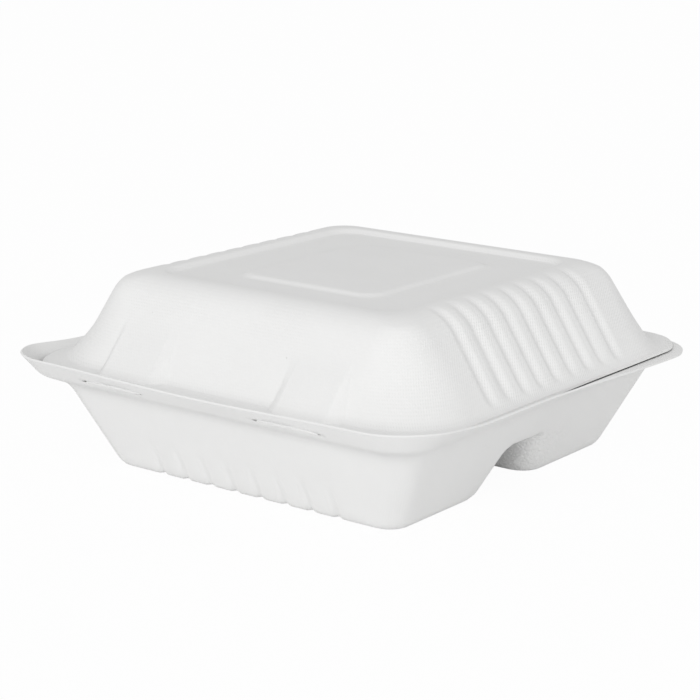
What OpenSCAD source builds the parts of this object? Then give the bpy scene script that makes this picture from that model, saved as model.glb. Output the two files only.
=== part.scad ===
/* [Whole container] */
// Width of the rim, left to right
rim_w = 202.4; // [202:0.2:206]
// Middle of the container to the front edge of the rim
rim_front = 110.4; // [109.6:0.2:112.4]
// Middle of the container to the back edge of the rim
rim_back = 102.6; // [102:0.2:105]
// Thickness of the moulded wall
wall_t = 0.8; // [0.65:0.05:0.85]
// Gap kept between the two halves of the fold and its turning line
fold_gap = 0.15; // [0.1:0.05:0.25]
// Clear space between the lid flange and the rim flange at the fold
fold_open = 1.0; // [0.9:0.05:1.3]

/* [Base walls] */
// Width across the flat bottom, left to right
floor_w = 140.6; // [137:0.2:144]
// Depth across the flat bottom, front to back
floor_d = 152.6; // [149:0.2:155]
// Lean of the walls from upright, in degrees
wall_lean = 24.5; // [22:0.1:25.5]
// Height where the wall turns out into the flange
knee_z = 35; // [33:0.1:36]
// Plan radius of the wall corners at the bottom
floor_corner_r = 9; // [7:0.5:12]
// Plan radius of the wall corners at the flange
knee_corner_r = 12; // [10:0.5:16]
// Height over which the bottom edge is rounded
foot_round = 4; // [3:0.5:7]

/* [Rim] */
// Width of the upturned lip, seen from above
lip_w = 7.3; // [6.8:0.1:7.8]
// Height of the foot of the lip
lip_foot_z = 39.6; // [39:0.1:40]
// Rise of the foot of the lip towards the fold
foot_rise = 1.2; // [0.4:0.1:1.4]
// Height of the rim at the front corners
rim_z = 47.7; // [47.2:0.1:48.2]
// Sag of the rim between the front corners
front_sag = 1.3; // [0.6:0.1:1.6]
// Drop of the rim just behind the front corners
corner_drop = 3; // [2.6:0.1:3.4]
// Further drop of the rim towards the fold
side_drop = 3.4; // [3:0.1:3.8]
// Plan radius of the rim corners
rim_corner_r = 24; // [22:0.5:26]

/* [Compartments] */
// Height of the dividers under the tray
roof_z = 21; // [16:0.5:24]
// Back edge of the front compartment at the bottom, behind the middle
front_cell_y = -18.4; // [-24:0.2:-16]
// Front edge of the two back compartments at the bottom
back_cell_y = 15.8; // [14:0.2:22]
// Width of the gap between the two back compartments at the bottom
split_w = 34; // [30:0.5:44]
// Plan radius of the compartment corners at the dividers
cell_corner_r = 9; // [6:0.5:12]
// Rounding of the divider tops
roof_round = 4; // [3:0.5:6]

/* [Base flutes] */
// Number of short flutes along the front bottom edge
base_flutes = 8; // [6:2:10]
// Spacing of the short flutes
base_flute_pitch = 12.45; // [11.5:0.05:13]
// Half width of a short flute
base_flute_half = 2.9; // [2:0.1:4]
// Depth of a short flute
base_flute_deep = 1.1; // [0.4:0.1:1.4]
// Height where a short flute has faded out
base_flute_top = 19; // [14:0.5:24]

/* [Lid walls] */
// Height of the lid top
lid_z = 79; // [77:0.1:82]
// Lid wall foot in from the rim edge at the sides
foot_side_in = 7.2; // [6.9:0.1:8.6]
// Lid wall foot in from the rim edge at the front
foot_front_in = 16.8; // [14:0.1:17.4]
// Lid wall foot in from the rim edge at the back
foot_back_in = 4.6; // [4:0.1:6]
// Lean of the lid walls from upright, in degrees
lid_lean = 33.5; // [31:0.5:35]
// Softness of the turn from the lid wall to its flange
lid_foot_soft = 4; // [2:0.5:5]
// Radius of the rounded lid shoulder
shoulder_r = 17; // [14:0.2:19]
// How much steeper the front wall stands, as an offset at its foot
front_set = 4.4; // [2:0.1:5]
// Plan radius of the lid corners at the foot
lid_foot_r = 38; // [34:0.5:42]
// How much sharper the corners turn where the wall flares into the flange
foot_flare = 9; // [4:0.5:10]
// Plan radius of the lid corners at the top
lid_top_r = 10.5; // [8:0.5:13]

/* [Lid flange] */
// Lid flange edge in from the rim edge at the sides
side_in = 4.9; // [4.8:0.1:5]
// Lid flange edge in from the rim edge at the front
front_in = 5.8; // [5.7:0.1:6.2]
// Lid flange edge in from the rim edge at the back
back_in = 0.2; // [0.1:0.05:0.4]
// Plan radius of the front corners of the lid flange
flange_front_r = 26.5; // [26:0.5:32]
// Plan radius of the back corners of the lid flange
flange_back_r = 23; // [22.5:0.5:26]

/* [Lid top] */
// Depth of the sunk panel in the lid top
panel_deep = 2; // [1.2:0.1:2.4]
// Flat border from the shoulder to the sunk panel
panel_border = 2.7; // [2:0.1:4]
// Width of the sloped step round the panel
step_w = 2.2; // [1.6:0.1:3]
// Width of the raised pad in the middle
pad_w = 68.8; // [60:0.2:74]
// Depth of the raised pad, front to back
pad_d = 85.2; // [76:0.2:92]
// Height of the raised pad above the panel
pad_high = 1.2; // [0.6:0.1:1.8]
// Plan radius of the pad corners
pad_r = 8; // [5:0.5:12]

/* [Lid flutes] */
// Number of long flutes in each side wall
lid_flutes = 9; // [7:2:9]
// Spacing of the long flutes
lid_flute_pitch = 11.5; // [10.5:0.1:12]
// Half width of a long flute
lid_flute_half = 4.2; // [3:0.1:4.6]
// Depth of a long flute
lid_flute_deep = 1.4; // [0.8:0.1:1.8]
// Length over which a long flute fades out at the top
lid_flute_fade = 12; // [7:0.5:15]

/* [Latches] */
// Middle of the container to the middle of each latch
latch_x = 42.5; // [40:0.5:46]
// Half length of a slot in the front lip
slot_half = 16; // [14:0.5:18]
// Height of a slot at its middle
slot_high = 2.2; // [2:0.1:2.4]
// Slot middle below the under side of the lid flange
slot_down = 0.8; // [0.6:0.05:0.9]
// Reach of a tab beyond the lid flange
tab_reach = 0.85; // [0.6:0.05:0.9]
// Half length of a tab
tab_half = 10; // [8:0.5:11]
// Height where the bulge above a latch starts
bulge_z = 62.5; // [58:0.5:66]
// Half width of the flat face of a bulge
bulge_half = 12; // [9:0.5:13]
// Spread of each side facet of a bulge at the flange
bulge_side = 5; // [4:0.5:8]
// How far a bulge stands out at the flange
bulge_out = 6; // [3:0.1:6.4]

/* [Colours] */
// Colour of the moulded fibre
pulp_color = "#f1f0ec";

/* [Hidden] */
lean_t = tan(wall_lean);
rim_hw = rim_w / 2;
floor_hw = floor_w / 2;
floor_hd = floor_d / 2;
lid_hw = rim_hw - foot_side_in;
lid_front = rim_front - foot_front_in + front_set;
lid_back = rim_back - foot_back_in;
knee_f = knee_z * lean_t;
rim_back_z = rim_z - corner_drop - side_drop;
fold_z = rim_back_z + wall_t + fold_open / 2;
lid_low_z = fold_z + fold_open / 2;
flange_z = lid_low_z + wall_t;
fold_flat = 0.7;
skin = 0.04;
fold_c = rim_back - 0.2;
fold_r = fold_z - rim_back_z;
fold_y = fold_c + fold_r + fold_gap;
fold_hw = rim_hw - rim_corner_r - 4;
roof_mid = (front_cell_y + back_cell_y) / 2;
lid_lean_t = tan(lid_lean);
top_f = (lid_z - flange_z) * lid_lean_t;
shoulder_l = shoulder_r * tan((90 - lid_lean) / 2);
wall_end_f = top_f - shoulder_l * sin(lid_lean);
flat_f = top_f + shoulder_l;
panel_f = flat_f + panel_border;
shoulder_z = lid_z - shoulder_r;
lid_flute_end = lid_flute_pitch * (lid_flutes - 1) / 2;
shift_y = (rim_front - fold_c - fold_r + skin) / 2;

// Level of the grid lines inside the last ring of an outline
inside = 4 * (base_flutes + lid_flutes);

// Blending helpers
function mix(a, b, t) = a + (b - a) * t;
function ease(a, b, v) = let (t = min(1, max(0, (v - a) / (b - a)))) t * t * (3 - 2 * t);
function soft_max(a, b, k) = let (h = max(k - abs(a - b), 0) / k) max(a, b) + h * h * k / 4;
function soft_min(a, b, k) = -soft_max(-a, -b, k);
function arc_max(a, b, r) = abs(a - b) < r ? r + (a + b - sqrt(2 * r * r - (a - b) * (a - b))) / 2 : max(a, b);
function groove(d, half) = abs(d) < half ? 0.5 + 0.5 * cos(180 * d / half) : 0;
function reversed(v) = [for (i = [len(v) - 1:-1:0]) v[i]];
function side_lines(rings, inner) = concat(
    [for (k = [0:len(rings) - 1]) [rings[k], k]],
    [for (c = inner) [c, inside]]);
function both_lines(neg, pos) = concat(
    [for (l = neg) [-l[0], l[1]]],
    reversed(pos));

// Position on ring k of a rounded outline, from the grid lines of a node
function on_ring(xl, yl, hx, hy, r) =
    let (sx = sign(xl[0]), sy = sign(yl[0]), wide = xl[1] <= yl[1])
    let (ax = wide ? hx : abs(xl[0]), ay = wide ? abs(yl[0]) : hy)
    let (cx = hx - r, cy = hy - r)
    ax > cx && ay > cy && r > 0
        ? let (a = wide ? 45 * (ay - cy) / r : 90 - 45 * (ax - cx) / r)
          [sx * (cx + r * cos(a)), sy * (cy + r * sin(a))]
        : [sx * ax, sy * ay];

// Unit normals of a grid of points, upwards
function grid_normals(p) =
    let (m = len(p) - 1, n = len(p[0]) - 1)
    [for (j = [0:m]) [for (i = [0:n])
        let (du = p[j][min(n, i + 1)] - p[j][max(0, i - 1)])
        let (dv = p[min(m, j + 1)][i] - p[max(0, j - 1)][i])
        let (c = cross(du, dv))
        c / norm(c)]];

// Closed sheet between two grids of points
module sheet(low, high) {
    m = len(low);
    n = len(low[0]);
    pts = concat([for (r = low) each r], [for (r = high) each r]);
    up = m * n;
    tris = [for (j = [0:m - 2]) for (i = [0:n - 2])
        let (a = j * n + i, b = a + 1, c = a + n + 1, d = a + n)
        let (q = low[j][i] + low[j + 1][i + 1])
        q[0] * q[1] > 0
            ? [[a, b, c], [a, c, d], [a + up, c + up, b + up], [a + up, d + up, c + up]]
            : [[a, b, d], [b, c, d], [a + up, d + up, b + up], [b + up, d + up, c + up]]];
    rim = concat(
        [for (i = [0:n - 1]) i],
        [for (j = [1:m - 1]) j * n + n - 1],
        [for (i = [n - 2:-1:0]) (m - 1) * n + i],
        [for (j = [m - 2:-1:1]) j * n]);
    edge = [for (k = [0:len(rim) - 1])
        let (a = rim[k], b = rim[(k + 1) % len(rim)])
        each [[a, a + up, b + up], [a, b + up, b]]];
    polyhedron(points = pts, faces = concat([for (t = tris) each t], edge), convexity = 8);
}

// Base outline rings, from the rim edge inwards
base_wall_f = [for (z = [knee_z, 28, 21.5, 15, 9.5, 5]) z * lean_t];
base_f = concat(base_wall_f, [0, -2, -4.5]);
base_hx = concat([rim_hw, rim_hw - lip_w / 2, rim_hw - lip_w], [for (f = base_f) floor_hw + f]);
base_hf = concat([rim_front, rim_front - lip_w / 2, rim_front - lip_w], [for (f = base_f) floor_hd + f]);
base_hb = concat([rim_back, rim_back - lip_w / 2, rim_back - lip_w], [for (f = base_f) floor_hd + f]);
function base_r(k) = k < 3
    ? mix(rim_corner_r, knee_corner_r + 4, k / 2)
    : let (f = base_f[k - 3])
      f > 0 ? mix(floor_corner_r, knee_corner_r, f / knee_f) : max(0.5, floor_corner_r + 0.8 * f);
function rim_height(x, y) = rim_z - corner_drop * ease(-105, -60, y) - side_drop * ease(-30, 85, y)
    - (y < 0 ? front_sag * (1 - ease(0, 80, abs(x))) : 0);

// Height of the under side of the tray inside the knee
function tray_z(f, x, y) =
    let (cross_f = y < roof_mid
        ? y - front_cell_y
        : arc_max(back_cell_y - y, split_w / 2 - abs(x), cell_corner_r))
    let (cell = arc_max(f, cross_f, cell_corner_r) / lean_t)
    soft_max(0, max(f / lean_t, soft_min(cell, roof_z, roof_round)), foot_round);

function base_flute(x, y, z) =
    y > 0 || abs(x) > base_flute_pitch * (base_flutes / 2)
        ? 0
        : let (d = (x / base_flute_pitch - floor(x / base_flute_pitch) - 0.5) * base_flute_pitch)
          base_flute_deep * groove(d, base_flute_half) * (1 - ease(3, base_flute_top, z));

function base_node(xl, yl) =
    let (k = min(xl[1], yl[1]))
    let (hy = yl[0] < 0 ? base_hf : base_hb)
    let (p = k == inside ? [xl[0], yl[0]] : on_ring(xl, yl, base_hx[k], hy[k], base_r(k)))
    let (f = k == inside ? max(abs(p[0]) - floor_hw, abs(p[1]) - floor_hd) : k < 3 ? knee_f : base_f[k - 3])
    let (z = k < 3 ? mix(rim_height(p[0], p[1]), lip_foot_z + foot_rise * ease(-30, 85, p[1]), k / 2) : tray_z(f, p[0], p[1]))
    let (g = k > 3 && f > -6 ? base_flute(p[0], p[1], z) : 0)
    [p[0], p[1] + g * 0.9, z + g * (1 - ease(0, 5, z)) * 0.5];

base_cols = let (inner = [for (i = [base_flutes / 2 - 1:-1:0]) for (s = [1, 0, -1])
    (i + 0.5) * base_flute_pitch + s * base_flute_half])
    both_lines(side_lines(base_hx, concat([58], inner)), side_lines(base_hx, concat([58], inner)));
base_rows = both_lines(
    side_lines(base_hf, [-front_cell_y + 36, -front_cell_y + 16, -front_cell_y + 4,
        -front_cell_y + 1, -front_cell_y - 2, -front_cell_y - 5, -front_cell_y - 8, -front_cell_y - 11]),
    side_lines(base_hb, [back_cell_y + 36, back_cell_y + 22, back_cell_y + 11, back_cell_y + 4, back_cell_y + 1,
        back_cell_y - 2, back_cell_y - 5, back_cell_y - 8, back_cell_y - 11]));
base_low = [for (yl = base_rows) [for (xl = base_cols) base_node(xl, yl)]];

// Lid outline rings, from the flange edge inwards
lid_arc = [for (i = [1:4]) lid_lean + (90 - lid_lean) * i / 5];
lid_wall_f = [-1.6, 0, 1.5, 5, 9.5, 14, wall_end_f];
lid_f = concat(lid_wall_f, [for (a = lid_arc) flat_f - shoulder_r * cos(a)],
    [flat_f, panel_f, panel_f + step_w]);
lid_fz = concat([for (f = lid_wall_f) flange_z + soft_max(0, f / lid_lean_t, lid_foot_soft)],
    [for (a = lid_arc) shoulder_z + shoulder_r * sin(a)],
    [lid_z, lid_z, lid_z - panel_deep]);
lid_fa = concat([for (f = lid_wall_f) lid_lean], lid_arc, [90, 90, 90]);
pad_z = lid_z - panel_deep + pad_high;
lid_hx = concat([rim_hw - side_in], [for (f = lid_f) lid_hw - f], [pad_w / 2, pad_w / 2 - step_w]);
lid_hf = concat([rim_front - front_in],
    [for (f = lid_f) lid_front - f - front_set * pow(max(0, 1 - f / flat_f), 1.5)], [pad_d / 2, pad_d / 2 - step_w]);
lid_hb = concat([rim_back - back_in], [for (f = lid_f) lid_back - f], [pad_d / 2, pad_d / 2 - step_w]);
lid_rz = concat([flange_z], lid_fz, [lid_z - panel_deep, pad_z]);
lid_n = len(lid_rz);
around_pad = lid_n - 2.5;
function lid_r(k, y) = k == 0
    ? (y < 0 ? flange_front_r : flange_back_r)
    : k >= lid_n - 2 ? pad_r : mix(lid_foot_r, lid_top_r, min(1, lid_f[k - 1] / top_f))
        - foot_flare * (1 - ease(lid_wall_f[0], 9.5, lid_f[k - 1]));

function lid_flute(y, f) =
    abs(y) > lid_flute_end + lid_flute_half
        ? 0
        : let (d = (y / lid_flute_pitch - round(y / lid_flute_pitch)) * lid_flute_pitch)
          lid_flute_deep * groove(d, lid_flute_half) * ease(0, 4, f)
              * (1 - ease(flat_f + 1 - lid_flute_fade, flat_f + 1, f));

function bulge(x, z) =
    let (t = max(0, (bulge_z - z) / (bulge_z - flange_z)), d = abs(abs(x) - latch_x) - bulge_half)
    t > 0 ? bulge_out * t * (d < 0 ? 1 : max(0, 1 - d / (bulge_side * t + 0.01))) : 0;

// Grid lines of the lid from the flange edge inwards, the pad rings among them
function lid_lines(h, inner) = concat(
    [for (k = [0:lid_n - 3]) [h[k], k]],
    [for (c = inner) if (c > h[lid_n - 2] + 0.2) [c, around_pad]],
    [for (k = [lid_n - 2, lid_n - 1]) [h[k], k]],
    [for (c = inner) if (c < h[lid_n - 1] - 0.2) [c, inside]]);

function lid_node(xl, yl) =
    let (k = min(xl[1], yl[1]), loose = k == inside || k == around_pad)
    let (hy = yl[0] < 0 ? lid_hf : lid_hb)
    let (p = loose ? [xl[0], yl[0]] : on_ring(xl, yl, lid_hx[k], hy[k], lid_r(k, yl[0])))
    let (z = k == inside ? pad_z : k == around_pad ? lid_z - panel_deep : lid_rz[k])
    let (wall = k > 0 && k < lid_n - 4)
    let (g = wall && xl[1] <= yl[1] ? lid_flute(p[1], lid_f[k - 1]) : 0)
    let (a = wall ? lid_fa[k - 1] : lid_lean)
    let (b = wall && yl[1] < xl[1] && yl[0] < 0 ? bulge(p[0], z) * (k == 1 ? 0.75 : 1) : 0)
    [p[0] - sign(p[0]) * g * cos(a), p[1] - b, z - g * sin(a)];

lid_flute_rows = [for (i = [(lid_flutes - 1) / 2:-1:0]) for (s = i > 0 ? [1, 1 / 3, -1 / 3, -1] : [1, 1 / 3])
    i * lid_flute_pitch + s * lid_flute_half];
lid_inner_x = [latch_x + bulge_half, latch_x, latch_x - bulge_half - bulge_side, 10];
lid_cols = both_lines(lid_lines(lid_hx, lid_inner_x), lid_lines(lid_hx, lid_inner_x));
lid_rows = both_lines(lid_lines(lid_hf, lid_flute_rows), lid_lines(lid_hb, lid_flute_rows));
lid_top = [for (yl = lid_rows) [for (xl = lid_cols) lid_node(xl, yl)]];

// Half of the rounded fold along the back; side is -1 for the base, 1 for the lid
module fold_half(side) {
    z0 = side < 0 ? rim_back_z + skin : flange_z - skin;
    r = abs(z0 - fold_z);
    core_r = r - wall_t + 2 * skin;
    arc = [for (a = [0:15:90]) [fold_c + r * sin(a), z0 - side * r * (1 - cos(a))]];
    core = [for (a = [90:-15:0]) [fold_c + core_r * sin(a), z0 - side * (r - core_r * cos(a))]];
    pts = concat([[fold_c - fold_flat, z0]], arc, core, [[fold_c - fold_flat, z0 - side * (r - core_r)]]);
    near = fold_z + side * fold_gap;
    rotate([90, 0, 90])
        linear_extrude(height = 2 * fold_hw, center = true)
            intersection() {
                polygon(pts);
                translate([0, side < 0 ? near - 10 : near])
                    square([fold_y + 10, 10]);
            }
}

// Outline of a slot seen from the front, tapering to its ends
module slot_shape() {
    polygon(concat(
        [for (i = [-12:12]) [slot_half * i / 12, slot_high / 2 * (1 - pow(abs(i) / 12, 4))]],
        [for (i = [11:-1:-11]) [slot_half * i / 12, -slot_high / 2 * (1 - pow(abs(i) / 12, 4))]]));
}

module base_tray() {
    color(pulp_color)
        translate([0, shift_y, 0])
        difference() {
            union() {
                sheet(base_low, base_low + wall_t * grid_normals(base_low));
                fold_half(-1);
            }
            for (s = [-1, 1])
                translate([s * latch_x, -rim_front - 1, lid_low_z - slot_down])
                    rotate([-90, 0, 0])
                        linear_extrude(height = lip_w + 1)
                            slot_shape();
        }
}

module lid() {
    edge_y = front_in - rim_front;
    color(pulp_color)
        translate([0, shift_y, 0])
        union() {
            sheet(lid_top - wall_t * grid_normals(lid_top), lid_top);
            fold_half(1);
            for (s = [-1, 1])
                translate([s * latch_x, edge_y, lid_low_z])
                    rotate([90, 0, 90])
                        linear_extrude(height = 2 * tab_half, center = true)
                            polygon([[2, skin], [2, wall_t - skin], [0, wall_t - skin],
                                [-tab_reach, wall_t / 2 - slot_down], [-tab_reach, -wall_t / 2 - slot_down]]);
        }
}

base_tray();
lid();
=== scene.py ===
import math

import bmesh
import bpy
from mathutils import Matrix, Vector


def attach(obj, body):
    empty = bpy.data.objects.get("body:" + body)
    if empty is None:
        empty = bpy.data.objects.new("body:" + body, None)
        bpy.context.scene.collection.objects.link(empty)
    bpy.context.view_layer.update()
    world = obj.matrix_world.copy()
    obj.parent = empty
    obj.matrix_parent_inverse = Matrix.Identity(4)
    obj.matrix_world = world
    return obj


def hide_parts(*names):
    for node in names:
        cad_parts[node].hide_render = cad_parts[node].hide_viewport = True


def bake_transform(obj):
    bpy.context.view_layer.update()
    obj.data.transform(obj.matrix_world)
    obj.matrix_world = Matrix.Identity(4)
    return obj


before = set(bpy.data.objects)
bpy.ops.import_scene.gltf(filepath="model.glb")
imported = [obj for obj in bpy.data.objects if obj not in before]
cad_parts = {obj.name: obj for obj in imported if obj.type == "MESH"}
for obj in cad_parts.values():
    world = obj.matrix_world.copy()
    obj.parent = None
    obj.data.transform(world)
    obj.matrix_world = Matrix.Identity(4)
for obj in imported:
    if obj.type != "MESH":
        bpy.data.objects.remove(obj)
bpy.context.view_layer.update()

# All sizes are in millimetres and degrees, and are turned to metres at the end.
MM = 0.001

# Whole container
RIM_W = 202.4
RIM_FRONT = 110.4
RIM_BACK = 102.6
WALL_T = 0.8
FOLD_OPEN = 1.0

# Base
FLOOR_W = 140.6
FLOOR_D = 152.6
WALL_LEAN = 24.5
KNEE_Z = 35.0
FLOOR_CORNER_R = 9.0
KNEE_CORNER_R = 12.0
FOOT_ROUND = 4.0
LIP_W = 7.3
LIP_FOOT_Z = 39.6
FOOT_RISE = 1.2
RIM_Z = 47.7
FRONT_SAG = 1.3
CORNER_DROP = 3.0
SIDE_DROP = 3.4
RIM_CORNER_R = 24.0
LIP_BOW = 0.4
SAG_HALF = 80
FRONT_FALL = (-105, -60)
SIDE_FALL = (-30, 85)
BOW_FROM = (-30, 30)
ROOF_Z = 21.0
FRONT_CELL_Y = -18.4
BACK_CELL_Y = 15.8
SPLIT_W = 34.0
CELL_CORNER_R = 9.0
ROOF_ROUND = 4.0
BASE_FLUTES = 8
BASE_FLUTE_PITCH = 12.45
BASE_FLUTE_HALF = 2.9
BASE_FLUTE_DEEP = 0.9
BASE_FLUTE_FOOT = 3.0
BASE_FLUTE_TOP = 19.0

# Lid
LID_Z = 79.0
FOOT_SIDE_IN = 7.2
FOOT_FRONT_IN = 16.8
FOOT_BACK_IN = 4.6
LID_LEAN = 33.5
LID_FOOT_SOFT = 4.0
SHOULDER_R = 17.0
FRONT_SET = 4.4
LID_FOOT_R = 38.0
FOOT_FLARE = 9.0
FLARE_TOP_F = 9.5
BACK_FLARE = 0.3
LID_TOP_R = 10.5
SIDE_IN = 4.9
FRONT_IN = 5.8
BACK_IN = 0.2
FLANGE_FRONT_R = 26.5
FLANGE_BACK_R = 23.0
PANEL_DEEP = 2.0
PANEL_BORDER = 2.7
STEP_W = 2.2
PAD_W = 68.8
PAD_D = 85.2
PAD_HIGH = 1.2
PAD_R = 8.0
LID_FLUTES = 9
LID_FLUTE_PITCH = 11.5
LID_FLUTE_HALF = 4.2
LID_FLUTE_DEEP = 1.4
LID_FLUTE_FADE = 12.0
EDGE_DROP = 1.1
EDGE_PINCH = 0.6
EDGE_GAP = 0.12
EDGE_END = (88, 100)

# Latches
LATCH_X = 42.5
SLOT_HALF = 16.0
SLOT_HIGH = 2.2
SLOT_DOWN = 0.8
TAB_REACH = 1.2
TAB_HALF = 14.0
TAB_THICK = 1.3
BULGE_Z = 62.5
BULGE_HALF = 12.0
BULGE_SIDE = 5.0
BULGE_OUT = 6.0

# Derived
LEAN_T = math.tan(math.radians(WALL_LEAN))
KNEE_F = KNEE_Z * LEAN_T
FLOOR_HW = FLOOR_W / 2
FLOOR_HD = FLOOR_D / 2
RIM_HW = RIM_W / 2
RIM_BACK_Z = RIM_Z - CORNER_DROP - SIDE_DROP
FOLD_Z = RIM_BACK_Z + WALL_T + FOLD_OPEN / 2
LID_LOW_Z = FOLD_Z + FOLD_OPEN / 2
FLANGE_Z = LID_LOW_Z + WALL_T
FOLD_C = RIM_BACK - BACK_IN
FOLD_R = FOLD_Z - RIM_BACK_Z
OVERLAP = 0.04
SHIFT_Y = (RIM_FRONT - FOLD_C - FOLD_R + OVERLAP) / 2
LID_HW = RIM_HW - FOOT_SIDE_IN
LID_FRONT = RIM_FRONT - FOOT_FRONT_IN + FRONT_SET
LID_BACK = RIM_BACK - FOOT_BACK_IN
ROOF_MID = (FRONT_CELL_Y + BACK_CELL_Y) / 2
LID_LEAN_T = math.tan(math.radians(LID_LEAN))
TOP_F = (LID_Z - FLANGE_Z) * LID_LEAN_T
SHOULDER_L = SHOULDER_R * math.tan(math.radians((90 - LID_LEAN) / 2))
WALL_END_F = TOP_F - SHOULDER_L * math.sin(math.radians(LID_LEAN))
FLAT_F = TOP_F + SHOULDER_L
PANEL_F = FLAT_F + PANEL_BORDER
PANEL_Z = LID_Z - PANEL_DEEP
PAD_Z = PANEL_Z + PAD_HIGH
FOOT_START_F = -1.6
KNEE_DOWN = 3
PIT_F = 11
RING_STEP = 3
# Rings of the flange before the wall begins, and the level of grid lines inside the last ring
EDGE_RINGS = 3
INSIDE = 1000


def mix(a, b, t):
    return a + (b - a) * t


def ease(a, b, v):
    """0 up to a and 1 from b, smooth between them."""
    t = min(1.0, max(0.0, (v - a) / (b - a)))
    return t * t * (3 - 2 * t)


def soft_max(a, b, k):
    """The greater of two values, rounded where they lie within k."""
    h = max(k - abs(a - b), 0) / k
    return max(a, b) + h * h * k / 4


def soft_min(a, b, k):
    return -soft_max(-a, -b, k)


def arc_max(a, b, r):
    """The greater of two values, joined by an arc of radius r."""
    if abs(a - b) < r:
        return r + (a + b - math.sqrt(2 * r * r - (a - b) ** 2)) / 2
    return max(a, b)


def groove(d, half):
    """Depth of a rounded groove from 0 to 1 at distance d from its middle."""
    return 0.5 + 0.5 * math.cos(math.pi * d / half) if abs(d) < half else 0.0


def spread(a, b, n):
    """n + 1 even steps from a to b."""
    return [mix(a, b, i / n) for i in range(n + 1)]


def near_pitch(v, pitch, shift):
    """Distance of v from the middle of its flute."""
    t = v / pitch - shift
    return (t - round(t)) * pitch


def blend_rings(a, b, t):
    return tuple(mix(p, q, t) for p, q in zip(a, b))


def turn_rings(a, b, c, share_in, share_out, n):
    """Rings round a corner at b, on the way from a to c."""
    start = blend_rings(b, a, share_in)
    end = blend_rings(b, c, share_out)
    return [blend_rings(blend_rings(start, b, t), blend_rings(b, end, t), t) for t in spread(0, 1, n)]


def on_ring(xl, yl, hx, hy, r):
    """Place on a rounded outline of the node where two grid lines cross."""
    sx = math.copysign(1, xl[0])
    sy = math.copysign(1, yl[0])
    wide = xl[1] <= yl[1]
    ax = hx if wide else abs(xl[0])
    ay = abs(yl[0]) if wide else hy
    cx = hx - r
    cy = hy - r
    if ax > cx and ay > cy and r > 0:
        a = math.radians(45 * (ay - cy) / r if wide else 90 - 45 * (ax - cx) / r)
        return sx * (cx + r * math.cos(a)), sy * (cy + r * math.sin(a))
    return sx * ax, sy * ay


def side_lines(rings, inner):
    """Grid lines as (place, number of their ring), from the edge inwards."""
    return [(v, k) for k, v in enumerate(rings)] + [(v, INSIDE) for v in inner]


def both_lines(neg, pos):
    """Grid lines of both sides in one row."""
    return [(-v, k) for v, k in neg] + [(v, k) for v, k in reversed(pos)]


def add_piece(name, bm):
    mesh = bpy.data.meshes.new(name)
    bm.to_mesh(mesh)
    bm.free()
    mesh.shade_smooth()
    piece = bpy.data.objects.new(name, mesh)
    bpy.context.collection.objects.link(piece)
    return piece


def sheet_mesh(name, cols, rows, place, thick, pinch=0.0):
    """A grid laid over the form by place(), given its thickness, with its edge pinched thinner."""
    bm = bmesh.new()
    bmesh.ops.create_grid(bm, x_segments=len(cols) - 1, y_segments=len(rows) - 1, size=1)
    for v in bm.verts:
        i = round((v.co.x + 1) / 2 * (len(cols) - 1))
        j = round((v.co.y + 1) / 2 * (len(rows) - 1))
        v.co = (Vector(place(cols[i], rows[j])) + Vector((0, SHIFT_Y, 0))) * MM
    bm.normal_update()
    first = set(bm.verts)
    bmesh.ops.solidify(bm, geom=bm.faces[:], thickness=thick * MM)
    bmesh.ops.recalc_face_normals(bm, faces=bm.faces[:])
    for edge in bm.edges:
        outer, inner = edge.verts if edge.verts[0] in first else reversed(edge.verts)
        if outer in first and inner not in first:
            inner.co = inner.co.lerp(outer.co, pinch)
    for face in bm.faces:
        trimmed = sum(v in first for v in face.verts) == 2
        face.material_index = 1 if trimmed else 0
    piece = add_piece(name, bm)
    piece.data.set_sharp_from_angle(angle=math.radians(60))
    return piece


def add_share(piece, name, share):
    """Gives every point a value from 0 to 1 by its place in millimetres."""
    mesh = piece.data
    layer = mesh.attributes.new(name, "FLOAT", "POINT")
    for v in mesh.vertices:
        x, y, z = v.co / MM
        layer.data[v.index].value = min(1, max(0, share(x, y - SHIFT_Y, z)))


def cut(piece, cutter):
    """Cuts the cutter out of the piece for good."""
    step = piece.modifiers.new("cut", "BOOLEAN")
    step.object = cutter
    step.solver = "EXACT"
    bpy.context.view_layer.update()
    graph = bpy.context.evaluated_depsgraph_get()
    mesh = bpy.data.meshes.new_from_object(piece.evaluated_get(graph))
    piece.modifiers.clear()
    old = piece.data
    piece.data = mesh
    bpy.data.meshes.remove(old)
    bpy.data.meshes.remove(cutter.data)
    mesh.shade_smooth()
    mesh.set_sharp_from_angle(angle=math.radians(50))


# Base: each ring is (half width, front, back, corner radius, share of the rim height, height, wall offset,
# share of the rise of the foot). The wall offset f is the distance of a ring outside the floor's outline.
def base_r(f):
    if f > 0:
        return mix(FLOOR_CORNER_R, KNEE_CORNER_R, f / KNEE_F)
    return max(0.5, FLOOR_CORNER_R + 0.8 * f)


def base_wall_ring(f):
    return FLOOR_HW + f, FLOOR_HD + f, FLOOR_HD + f, base_r(f), 0.0, f / LEAN_T, f, 0.0


def rim_height(x, y):
    sag = FRONT_SAG * (1 - ease(0, SAG_HALF, abs(x))) if y < 0 else 0.0
    return RIM_Z - CORNER_DROP * ease(*FRONT_FALL, y) - SIDE_DROP * ease(*SIDE_FALL, y) - sag


def foot_rise(y):
    return FOOT_RISE * ease(*SIDE_FALL, y)


def lip_bow(share, y):
    return 4 * share * (1 - share) * LIP_BOW * ease(*BOW_FROM, y)


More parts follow.
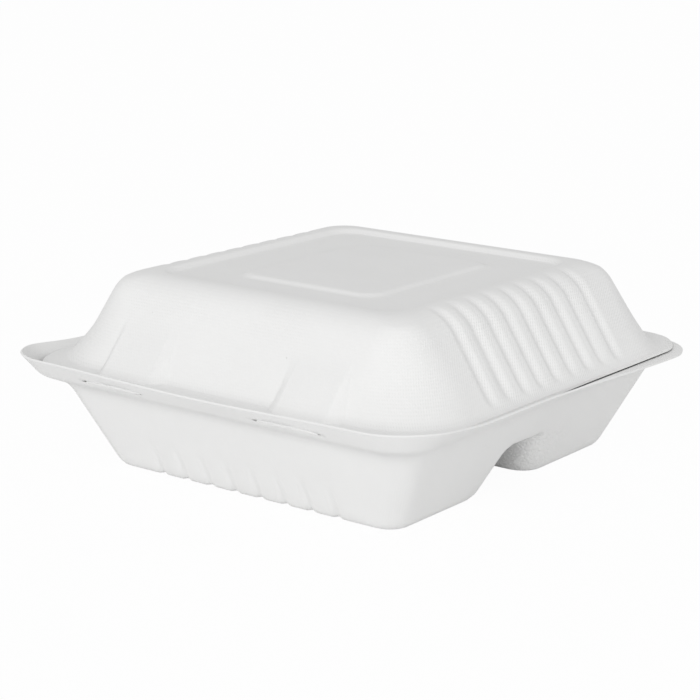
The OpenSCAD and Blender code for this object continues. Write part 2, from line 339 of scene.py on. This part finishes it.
def tray_z(f, x, y):
    """Height of the under side of the tray inside the knee."""
    if y < ROOF_MID:
        cross_f = y - FRONT_CELL_Y
    else:
        cross_f = arc_max(BACK_CELL_Y - y, SPLIT_W / 2 - abs(x), CELL_CORNER_R)
    cell = arc_max(f, cross_f, CELL_CORNER_R) / LEAN_T
    return soft_max(0, max(f / LEAN_T, soft_min(cell, ROOF_Z, ROOF_ROUND)), FOOT_ROUND)


def base_flute(x, y, z):
    if y > 0 or abs(x) > BASE_FLUTE_PITCH * BASE_FLUTES / 2:
        return 0.0
    d = near_pitch(x, BASE_FLUTE_PITCH, 0.5)
    return BASE_FLUTE_DEEP * groove(d, BASE_FLUTE_HALF) * (1 - ease(BASE_FLUTE_FOOT, BASE_FLUTE_TOP, z))


def base_rings():
    rim = (RIM_HW, RIM_FRONT, RIM_BACK, RIM_CORNER_R, 1.0, 0.0, KNEE_F, 0.0)
    foot_r = KNEE_CORNER_R + 4
    foot = (RIM_HW - LIP_W, RIM_FRONT - LIP_W, RIM_BACK - LIP_W, foot_r, 0.0, LIP_FOOT_Z, KNEE_F, 1.0)
    knee = base_wall_ring(KNEE_F)
    below = base_wall_ring(KNEE_F - KNEE_DOWN)
    rings = [blend_rings(rim, foot, t) for t in (0, 0.12, 0.3, 0.5, 0.65)]
    rings += turn_rings(rim, foot, knee, 0.22, 0.2, 5)
    rings += [blend_rings(foot, knee, 0.45)]
    rings += turn_rings(foot, knee, below, 0.3, 0.6, 6)
    rings += [base_wall_ring(f) for f in spread(KNEE_F - KNEE_DOWN, 2.6, 11)]
    rings += [base_wall_ring(f) for f in spread(2.2, -1.8, 9)]
    rings += [base_wall_ring(f) for f in (-2.6, -3.6, -4.5)]
    return rings


BASE_RINGS = base_rings()


def base_place(xl, yl):
    k = min(xl[1], yl[1])
    if k == INSIDE:
        x = xl[0]
        y = yl[0]
        return x, y, tray_z(max(abs(x) - FLOOR_HW, abs(y) - FLOOR_HD), x, y)
    hx, front, back, r, share, height, f, foot_share = BASE_RINGS[k]
    x, y = on_ring(xl, yl, hx, front if yl[0] < 0 else back, r)
    if height > KNEE_Z - KNEE_DOWN / LEAN_T + 0.01 or share > 0:
        return x, y, share * rim_height(x, y) + height + foot_rise(y) * foot_share + lip_bow(share, y)
    z = tray_z(f, x, y)
    g = base_flute(x, y, z)
    return x, y + 0.9 * g, z + 0.5 * g * (1 - ease(0, 5, z))


def base_lines():
    flutes = []
    across = (1.6, 1.0, 0.75, 0.5, 0.25, 0, -0.25, -0.5, -0.75, -1.0)
    for i in reversed(range(BASE_FLUTES // 2)):
        middle = (i + 0.5) * BASE_FLUTE_PITCH
        flutes += [middle + BASE_FLUTE_HALF * t for t in across]
    flutes = [v for v in flutes if v < 58] + [0.9]
    widths = [r[0] for r in BASE_RINGS]
    fronts = [r[1] for r in BASE_RINGS]
    backs = [r[2] for r in BASE_RINGS]
    inner_x = [64, 61] + flutes
    front_y = spread(68, -FRONT_CELL_Y + 5, 10) + spread(-FRONT_CELL_Y + 4, -FRONT_CELL_Y - PIT_F, 22)
    back_y = spread(68, BACK_CELL_Y + 12, 9) + spread(BACK_CELL_Y + PIT_F, BACK_CELL_Y - PIT_F, 26)
    back_y = [v for v in back_y if v > 0.5]
    front_y = [v for v in front_y if v > 0.5]
    cols = both_lines(side_lines(widths, inner_x), side_lines(widths, inner_x))
    rows = both_lines(side_lines(fronts, front_y), side_lines(backs, back_y))
    return cols, rows


# Lid: each ring is (half width, front, back, front radius, back radius, height, wall offset, lean).
# The wall offset f is the distance of a ring inside the foot of the wall.
def lid_wall_ring(f, height, lean):
    r = mix(LID_FOOT_R, LID_TOP_R, min(1, f / TOP_F))
    flare = FOOT_FLARE * (1 - ease(FOOT_START_F, FLARE_TOP_F, f))
    front = LID_FRONT - f - FRONT_SET * max(0, 1 - f / FLAT_F) ** 1.5
    return LID_HW - f, front, LID_BACK - f, r - flare, r - BACK_FLARE * flare, height, f, lean


def lid_rings():
    wall_f = (FOOT_START_F, -0.8, 0, 0.8, 1.6, 2.5, 3.5, 5, 6.5, 8.3, 10.2, 12.2, 14.2, 16.2, WALL_END_F)
    walls = []
    for f in wall_f:
        walls.append(lid_wall_ring(f, FLANGE_Z + soft_max(0, f / LID_LEAN_T, LID_FOOT_SOFT), LID_LEAN))
    outline = (RIM_HW - SIDE_IN, RIM_FRONT - FRONT_IN, RIM_BACK - BACK_IN)
    edge = outline + (FLANGE_FRONT_R, FLANGE_BACK_R, FLANGE_Z, 0, LID_LEAN)
    rings = [edge, blend_rings(edge, walls[0], 0.15), blend_rings(edge, walls[0], 0.35)] + walls
    for a in spread(LID_LEAN, 90, 12)[1:-1]:
        f = FLAT_F - SHOULDER_R * math.cos(math.radians(a))
        height = LID_Z - SHOULDER_R + SHOULDER_R * math.sin(math.radians(a))
        rings.append(lid_wall_ring(f, height, a))
    flat = lid_wall_ring(FLAT_F, LID_Z, 90)
    brink = lid_wall_ring(PANEL_F, LID_Z, 90)
    panel = lid_wall_ring(PANEL_F + STEP_W, PANEL_Z, 90)
    beyond = lid_wall_ring(PANEL_F + STEP_W + RING_STEP, PANEL_Z, 90)
    rings += [flat, blend_rings(flat, brink, 0.5)]
    rings += turn_rings(flat, brink, panel, 0.3, 0.35, 4)
    rings += turn_rings(brink, panel, beyond, 0.35, 0.3, 4)
    return rings


def pad_rings():
    def ring(inset, height):
        return PAD_W / 2 - inset, PAD_D / 2 - inset, PAD_D / 2 - inset, PAD_R, PAD_R, height, 50, 90

    outer = ring(-RING_STEP, PANEL_Z)
    foot = ring(0, PANEL_Z)
    top = ring(STEP_W, PAD_Z)
    middle = ring(STEP_W + RING_STEP, PAD_Z)
    return turn_rings(outer, foot, top, 0.3, 0.35, 4) + turn_rings(foot, top, middle, 0.35, 0.3, 4)


WALL_RINGS = lid_rings()
LID_RINGS = WALL_RINGS + pad_rings()
AROUND_PAD = len(WALL_RINGS) - 0.5
LAST_FLUTE = LID_FLUTE_PITCH * (LID_FLUTES - 1) / 2


def lid_flute(y, f):
    """Depth of the flutes in the side walls."""
    if abs(y) > LAST_FLUTE + LID_FLUTE_HALF:
        return 0.0
    d = near_pitch(y, LID_FLUTE_PITCH, 0)
    fade = ease(0, 4, f) * (1 - ease(FLAT_F + 1 - LID_FLUTE_FADE, FLAT_F + 1, f))
    return LID_FLUTE_DEEP * groove(d, LID_FLUTE_HALF) * fade


def bulge(x, z):
    """How far the front wall of the lid stands out above a latch."""
    t = max(0, (BULGE_Z - z) / (BULGE_Z - FLANGE_Z))
    d = abs(abs(x) - LATCH_X) - BULGE_HALF
    if t <= 0:
        return 0.0
    return BULGE_OUT * t * (1 if d < 0 else max(0, 1 - d / (BULGE_SIDE * t + 0.01)))


def edge_drop(x, y, inset):
    """How far the edge of the lid turns down towards the lip under it."""
    share = 1 - inset / LIP_W
    lip = mix(LIP_FOOT_Z + foot_rise(y), rim_height(x, y), share) + lip_bow(share, y) + 1.2 * WALL_T
    room = FLANGE_Z - lip - WALL_T * (1 - EDGE_PINCH) - EDGE_GAP
    return min(EDGE_DROP, max(0, room)) * (1 - ease(*EDGE_END, y))


def lid_place(xl, yl):
    k = min(xl[1], yl[1])
    if k == INSIDE:
        return xl[0], yl[0], PAD_Z
    if k == AROUND_PAD:
        return xl[0], yl[0], PANEL_Z
    hx, front, back, r_front, r_back, height, f, lean = LID_RINGS[k]
    near = yl[0] < 0
    x, y = on_ring(xl, yl, hx, front if near else back, r_front if near else r_back)
    if k == 0:
        height -= edge_drop(x, y, SIDE_IN if xl[1] <= yl[1] else FRONT_IN)
    if EDGE_RINGS <= k < len(WALL_RINGS) and f < FLAT_F:
        a = math.radians(lean)
        g = lid_flute(y, f) if xl[1] <= yl[1] else 0.0
        b = bulge(x, height) * (1 + 0.13 * min(0, f)) if yl[1] < xl[1] and near else 0.0
        return x - math.copysign(g * math.cos(a), x), y - b, height - g * math.sin(a)
    return x, y, height


def lid_lines(rings, inner):
    """Grid lines from the flange edge inwards, the rings of the pad among them."""
    pad = rings[len(WALL_RINGS):]
    lines = [(v, k) for k, v in enumerate(rings[:len(WALL_RINGS)])]
    lines += [(v, AROUND_PAD) for v in inner if v > pad[0] + 0.3]
    lines += [(v, len(WALL_RINGS) + k) for k, v in enumerate(pad)]
    return lines + [(v, INSIDE) for v in inner if v < pad[-1] - PAD_R / 3]


def lid_grid():
    steps = 12
    count = int((LAST_FLUTE + LID_FLUTE_PITCH / 2) / LID_FLUTE_PITCH * steps)
    flute_y = [i * LID_FLUTE_PITCH / steps for i in reversed(range(count + 1)) if i > 0] + [0.25]
    outer = LATCH_X + BULGE_HALF + BULGE_SIDE + 1
    inner = LATCH_X - BULGE_HALF - BULGE_SIDE - 1
    bulge_x = spread(outer, LATCH_X + BULGE_HALF - 1, 10)
    bulge_x += spread(LATCH_X + BULGE_HALF - 4, LATCH_X - BULGE_HALF + 4, 4)
    bulge_x += spread(LATCH_X - BULGE_HALF + 1, inner, 10) + [18, 10, 3]
    widths = [r[0] for r in LID_RINGS]
    fronts = [r[1] for r in LID_RINGS]
    backs = [r[2] for r in LID_RINGS]
    bulge_x = [v for v in bulge_x if v < WALL_RINGS[-1][0] - 0.4]
    cols = both_lines(lid_lines(widths, bulge_x), lid_lines(widths, bulge_x))
    rows = both_lines(lid_lines(fronts, flute_y), lid_lines(backs, flute_y))
    return cols, rows


# Material of the moulded fibre: heights in millimetres
MESH_PITCH = 1.35 * MM
MESH_HIGH = 0.085
GRAIN_HIGH = 0.035
CRACKLE_HIGH = 0.18
WANDER = 1.6 * MM
SPECK_CELLS = 75
SPECK_SIZE = 0.014
PULP_COLOUR = (0.89, 0.89, 0.885, 1)
SHADE_COLOUR = (0.88, 0.88, 0.875, 1)
SPECK_COLOUR = (0.33, 0.31, 0.28, 1)


def link(tree, out, into):
    tree.links.new(out, into)


def math_node(tree, kind, a, b=None):
    node = tree.nodes.new("ShaderNodeMath")
    node.operation = kind
    for i, v in enumerate((a, b)):
        if v is None:
            continue
        if isinstance(v, (int, float)):
            node.inputs[i].default_value = v
        else:
            link(tree, v, node.inputs[i])
    return node.outputs[0]


def smooth_range(tree, value, low, high, start=0.0, end=1.0):
    node = tree.nodes.new("ShaderNodeMapRange")
    node.interpolation_type = "SMOOTHSTEP"
    link(tree, value, node.inputs["Value"])
    node.inputs["From Min"].default_value = low
    node.inputs["From Max"].default_value = high
    node.inputs["To Min"].default_value = start
    node.inputs["To Max"].default_value = end
    return node.outputs["Result"]


def noise(tree, place, scale, detail, rough=0.5):
    node = tree.nodes.new("ShaderNodeTexNoise")
    link(tree, place, node.inputs["Vector"])
    node.inputs["Scale"].default_value = scale
    node.inputs["Detail"].default_value = detail
    node.inputs["Roughness"].default_value = rough
    return node.outputs["Fac"]


def cells(tree, place, scale, feature, out):
    node = tree.nodes.new("ShaderNodeTexVoronoi")
    node.feature = feature
    link(tree, place, node.inputs["Vector"])
    node.inputs["Scale"].default_value = scale
    return node.outputs[out]


def crossed(tree, u, v):
    """Two sets of slanting lines over each other."""
    waves = []
    for way in ("ADD", "SUBTRACT"):
        phase = math_node(tree, "MULTIPLY", math_node(tree, way, u, v), math.pi / MESH_PITCH)
        waves.append(math_node(tree, "SINE", phase))
    return math_node(tree, "MULTIPLY", *waves)


def fibre_group():
    """Height of the surface, specks and cloudiness, from the place, the normal and two shares."""
    tree = bpy.data.node_groups.new("fibre surface", "ShaderNodeTree")
    for name in ("Place", "Normal"):
        tree.interface.new_socket(name, in_out="INPUT", socket_type="NodeSocketVector")
    for name in ("Mesh", "Crackle"):
        tree.interface.new_socket(name, in_out="INPUT", socket_type="NodeSocketFloat")
    for name in ("Height", "Speck", "Cloud"):
        tree.interface.new_socket(name, in_out="OUTPUT", socket_type="NodeSocketFloat")
    given = tree.nodes.new("NodeGroupInput")
    result = tree.nodes.new("NodeGroupOutput")
    place = given.outputs["Place"]
    split = tree.nodes.new("ShaderNodeSeparateXYZ")
    link(tree, place, split.inputs[0])
    x, y, z = split.outputs
    facing = tree.nodes.new("ShaderNodeSeparateXYZ")
    link(tree, given.outputs["Normal"], facing.inputs[0])
    wander = math_node(tree, "MULTIPLY", noise(tree, place, 90, 2), WANDER)
    along = math_node(tree, "ADD", math_node(tree, "ADD", x, y), wander)
    rise = math_node(tree, "MULTIPLY", z, 1.2)
    on_wall = crossed(tree, along, rise)
    on_top = crossed(tree, math_node(tree, "ADD", x, wander), y)
    level = smooth_range(tree, math_node(tree, "ABSOLUTE", facing.outputs["Z"]), 0.8, 0.95)
    pick = tree.nodes.new("ShaderNodeMix")
    pick.data_type = "FLOAT"
    link(tree, level, pick.inputs[0])
    link(tree, on_wall, pick.inputs[2])
    link(tree, on_top, pick.inputs[3])
    patch = smooth_range(tree, noise(tree, place, 45, 2), 0.3, 0.7, 0.35, 1.0)
    share = math_node(tree, "MULTIPLY", patch, given.outputs["Mesh"])
    mesh = math_node(tree, "MULTIPLY", pick.outputs[0], share)
    height = math_node(tree, "MULTIPLY", mesh, MESH_HIGH)
    grain = math_node(tree, "MULTIPLY", noise(tree, place, 1100, 3, 0.6), GRAIN_HIGH)
    lumps = math_node(tree, "MULTIPLY", noise(tree, place, 260, 2), 2 * GRAIN_HIGH)
    height = math_node(tree, "ADD", height, math_node(tree, "ADD", grain, lumps))
    crackle = smooth_range(tree, cells(tree, place, 420, "DISTANCE_TO_EDGE", "Distance"), 0.0, 0.3)
    share = math_node(tree, "MULTIPLY", given.outputs["Crackle"], CRACKLE_HIGH)
    crackle = math_node(tree, "MULTIPLY", crackle, share)
    height = math_node(tree, "ADD", height, crackle)
    link(tree, height, result.inputs["Height"])
    near = math_node(tree, "LESS_THAN", cells(tree, place, SPECK_CELLS, "F1", "Distance"), SPECK_SIZE)
    tint = cells(tree, place, SPECK_CELLS, "F1", "Color")
    part = tree.nodes.new("ShaderNodeSeparateColor")
    link(tree, tint, part.inputs[0])
    few = math_node(tree, "GREATER_THAN", part.outputs[0], 0.55)
    link(tree, math_node(tree, "MULTIPLY", near, few), result.inputs["Speck"])
    link(tree, noise(tree, place, 30, 3), result.inputs["Cloud"])
    return tree


FIBRE = fibre_group()


def mix_colour(tree, share, a, b):
    node = tree.nodes.new("ShaderNodeMix")
    node.data_type = "RGBA"
    link(tree, share, node.inputs[0])
    for i, c in ((6, a), (7, b)):
        if isinstance(c, tuple):
            node.inputs[i].default_value = c
        else:
            link(tree, c, node.inputs[i])
    return node.outputs[2]


def pulp_material(name, bump):
    material = bpy.data.materials.new(name)
    material.use_nodes = True
    tree = material.node_tree
    shader = tree.nodes["Principled BSDF"]
    shader.inputs["Roughness"].default_value = 0.88
    shader.inputs["Specular IOR Level"].default_value = 0.2
    where = tree.nodes.new("ShaderNodeTexCoord")
    group = tree.nodes.new("ShaderNodeGroup")
    group.node_tree = FIBRE
    link(tree, where.outputs["Object"], group.inputs["Place"])
    link(tree, where.outputs["Normal"], group.inputs["Normal"])
    for socket, layer in (("Mesh", "mesh share"), ("Crackle", "crackle share")):
        attribute = tree.nodes.new("ShaderNodeAttribute")
        attribute.attribute_name = layer
        link(tree, attribute.outputs["Fac"], group.inputs[socket])
    cloud = smooth_range(tree, group.outputs["Cloud"], 0.35, 0.65)
    colour = mix_colour(tree, cloud, PULP_COLOUR, SHADE_COLOUR)
    colour = mix_colour(tree, group.outputs["Speck"], colour, SPECK_COLOUR)
    link(tree, colour, shader.inputs["Base Color"])
    relief = tree.nodes.new("ShaderNodeBump")
    relief.inputs["Strength"].default_value = 1
    relief.inputs["Distance"].default_value = bump * MM
    link(tree, group.outputs["Height"], relief.inputs["Height"])
    link(tree, relief.outputs["Normal"], shader.inputs["Normal"])
    return material


PULP = pulp_material("moulded fibre", 1.0)
CUT_EDGE = pulp_material("trimmed edge", 1.6)


def add_shares(piece, mesh_share, crackle_share):
    add_share(piece, "mesh share", mesh_share)
    add_share(piece, "crackle share", crackle_share)


def dress(piece, body, mesh_share, crackle_share):
    add_shares(piece, mesh_share, crackle_share)
    piece.data.materials.append(PULP)
    piece.data.materials.append(CUT_EDGE)
    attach(piece, body)


def slot_cutter(side):
    """The outline of a slot, tapering to its ends, pushed through the lip."""
    bm = bmesh.new()
    bmesh.ops.create_circle(bm, cap_ends=True, radius=1, segments=64)
    for v in bm.verts:
        u = v.co.x
        high = math.copysign(SLOT_HIGH / 2 * (1 - u ** 4), v.co.y)
        x = side * LATCH_X + SLOT_HALF * u
        v.co = Vector((x, SHIFT_Y - RIM_FRONT - 2, LID_LOW_Z - SLOT_DOWN + high)) * MM
    bmesh.ops.remove_doubles(bm, verts=bm.verts[:], dist=0.01 * MM)
    deep = bmesh.ops.extrude_face_region(bm, geom=bm.faces[:])
    moved = [e for e in deep["geom"] if isinstance(e, bmesh.types.BMVert)]
    bmesh.ops.translate(bm, verts=moved, vec=Vector((0, (LIP_W + 1.5) * MM, 0)))
    bmesh.ops.recalc_face_normals(bm, faces=bm.faces[:])
    return add_piece("slot cutter", bm)


def base_crackle(x, y, z):
    """The rough patch on the rounded wall behind the channel."""
    back = ease(BACK_CELL_Y - 16, BACK_CELL_Y - 4, y) * (1 - ease(BACK_CELL_Y + 6, BACK_CELL_Y + 26, y))
    return back * (1 - ease(17, 25, z))


def no_crackle(x, y, z):
    return 0


def plain_mesh(x, y, z):
    return 0.12


def lid_mesh(x, y, z):
    """The mesh print is strongest on the sides, the shoulders and the foot of the wall."""
    side = ease(58, 84, abs(x))
    shoulder = ease(64, 72, z) * (1 - ease(78, 79, z))
    foot = 1 - ease(44, 50, z)
    return 0.3 + 0.5 * side + 0.3 * shoulder + 0.2 * foot


base = sheet_mesh("base_skin", *base_lines(), base_place, -WALL_T)
for side in (-1, 1):
    cut(base, slot_cutter(side))
dress(base, "tray", plain_mesh, base_crackle)
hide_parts("base_tray")

lid = sheet_mesh("lid_skin", *lid_grid(), lid_place, WALL_T, EDGE_PINCH)
dress(lid, "cover", lid_mesh, no_crackle)
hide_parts("lid")


# Rows of a tab: how far out of the edge of the lid, and how high above its under side
TAB_ROWS = [(TAB_REACH, -0.75), (0.75 * TAB_REACH, -0.5), (0.4 * TAB_REACH, 0), (-0.2, 0.45), (-1.5, 0.45)]


def tab_place(col, row):
    """A tab reaching from the edge of the lid into its slot, thinner to its ends."""
    x, side = col
    out, high = row
    taper = 1 - abs(x / TAB_HALF) ** 4
    place_y = FRONT_IN - RIM_FRONT - out * mix(0.5, 1, taper)
    return side * LATCH_X + x, place_y, LID_LOW_Z + high + 0.5 * (taper - 1)


for side in (-1, 1):
    cols = [(v, side) for v in spread(-TAB_HALF, TAB_HALF, 24)]
    tab = sheet_mesh("latch_tab_left" if side < 0 else "latch_tab_right", cols, TAB_ROWS, tab_place, TAB_THICK)
    dress(tab, "cover", plain_mesh, no_crackle)

# Fold along the back: a rounded half on each part, and the thin skin that joins them
FOLD_HW = RIM_HW - RIM_CORNER_R - 4
FOLD_COLS = spread(-FOLD_HW, FOLD_HW, 20)
SKIN_T = 0.35
SKIN_R = FOLD_R - 0.2


def fold_place(x, row):
    return x, row[0], row[1]


def fold_arc(side, r, first, last, steps):
    """Rounded edge of the base, side -1, or of the lid, side 1, up to the middle of the fold at 90."""
    angles = [math.radians(a) for a in spread(first, last, steps)]
    return [(FOLD_C + r * math.sin(a), FOLD_Z + side * r * math.cos(a)) for a in angles]


for side, name, body in ((-1, "fold_of_base", "tray"), (1, "fold_of_lid", "cover")):
    arc = fold_arc(side, FOLD_R, -10, 83, 10)
    half = sheet_mesh(name, FOLD_COLS, arc, fold_place, side * WALL_T)
    dress(half, body, plain_mesh, no_crackle)

rows = fold_arc(-1, SKIN_R, 40, 90, 8) + list(reversed(fold_arc(1, SKIN_R, 40, 84, 7)))
skin = sheet_mesh("fold_skin", FOLD_COLS, rows, fold_place, -SKIN_T)
add_shares(skin, plain_mesh, no_crackle)
skin.data.materials.append(PULP)
skin.data.materials.append(PULP)
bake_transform(skin)


# Floor, light and camera
FLOOR_HALF = 6
FLOOR_GLOW = 0.96
WORLD_LIGHT = 0.65


def seen_share(tree):
    """1 for rays that show in the picture, 0 for those that only carry light."""
    path = tree.nodes.new("ShaderNodeLightPath")
    seen = math_node(tree, "MAXIMUM", path.outputs["Is Camera Ray"], path.outputs["Is Glossy Ray"])
    return math_node(tree, "MAXIMUM", seen, path.outputs["Is Transmission Ray"])


def add_floor():
    bm = bmesh.new()
    bmesh.ops.create_grid(bm, x_segments=1, y_segments=1, size=FLOOR_HALF)
    floor = add_piece("floor", bm)
    material = bpy.data.materials.new("floor")
    material.use_nodes = True
    tree = material.node_tree
    shader = tree.nodes["Principled BSDF"]
    shader.inputs["Base Color"].default_value = (0.9, 0.9, 0.9, 1)
    shader.inputs["Roughness"].default_value = 1
    glow = tree.nodes.new("ShaderNodeEmission")
    glow.inputs["Strength"].default_value = 1
    both = tree.nodes.new("ShaderNodeMixShader")
    link(tree, math_node(tree, "MULTIPLY", seen_share(tree), FLOOR_GLOW), both.inputs["Fac"])
    link(tree, shader.outputs[0], both.inputs[1])
    link(tree, glow.outputs[0], both.inputs[2])
    link(tree, both.outputs[0], tree.nodes["Material Output"].inputs["Surface"])
    floor.data.materials.append(material)


def add_world():
    world = bpy.data.worlds.new("studio")
    world.use_nodes = True
    bpy.context.scene.world = world
    tree = world.node_tree
    back = tree.nodes["Background"]
    back.inputs["Color"].default_value = (1, 1, 1, 1)
    strength = math_node(tree, "MULTIPLY", seen_share(tree), 1 - WORLD_LIGHT)
    link(tree, math_node(tree, "ADD", strength, WORLD_LIGHT), back.inputs["Strength"])


def area_light(name, azimuth, elevation, distance, size, power):
    """A square lamp that looks at the object; azimuth 0 is the front, 90 the right."""
    lamp = bpy.data.lights.new(name, "AREA")
    lamp.shape = "SQUARE"
    lamp.size = size
    lamp.energy = power
    holder = bpy.data.objects.new(name, lamp)
    bpy.context.collection.objects.link(holder)
    a = math.radians(azimuth)
    e = math.radians(elevation)
    back = Vector((math.sin(a) * math.cos(e), -math.cos(a) * math.cos(e), math.sin(e)))
    holder.location = Vector((0, 0, 0.04)) + back * distance
    holder.rotation_euler = back.to_track_quat("Z", "Y").to_euler()


CAM_AZIMUTH = 36.618
CAM_ELEVATION = 14.07
CAM_DISTANCE = 823.09
CAM_TARGET = Vector((-5.086, -3.694 + SHIFT_Y, 43.479))
CAM_ROLL = 0.729
CAM_LENS = 103.02


def camera():
    a = math.radians(CAM_AZIMUTH)
    e = math.radians(CAM_ELEVATION)
    r = math.radians(CAM_ROLL)
    back = Vector((math.sin(a) * math.cos(e), -math.cos(a) * math.cos(e), math.sin(e)))
    right = Vector((math.cos(a), math.sin(a), 0))
    up = back.cross(right)
    side = right * math.cos(r) + up * math.sin(r)
    top = up * math.cos(r) - right * math.sin(r)
    place = (CAM_TARGET + back * CAM_DISTANCE) * MM
    data = bpy.data.cameras.new("camera")
    data.lens = CAM_LENS
    data.sensor_width = 36
    data.sensor_fit = "HORIZONTAL"
    holder = bpy.data.objects.new("camera", data)
    bpy.context.collection.objects.link(holder)
    turn = Matrix((side, top, back)).transposed().to_4x4()
    holder.matrix_world = Matrix.Translation(place) @ turn
    bpy.context.scene.camera = holder


add_floor()
add_world()
area_light("key", 20, 18, 2.2, 1.2, 16)
area_light("fill", 105, 4, 2.2, 0.6, 3.5)
camera()
bpy.context.scene.view_settings.view_transform = "Standard"
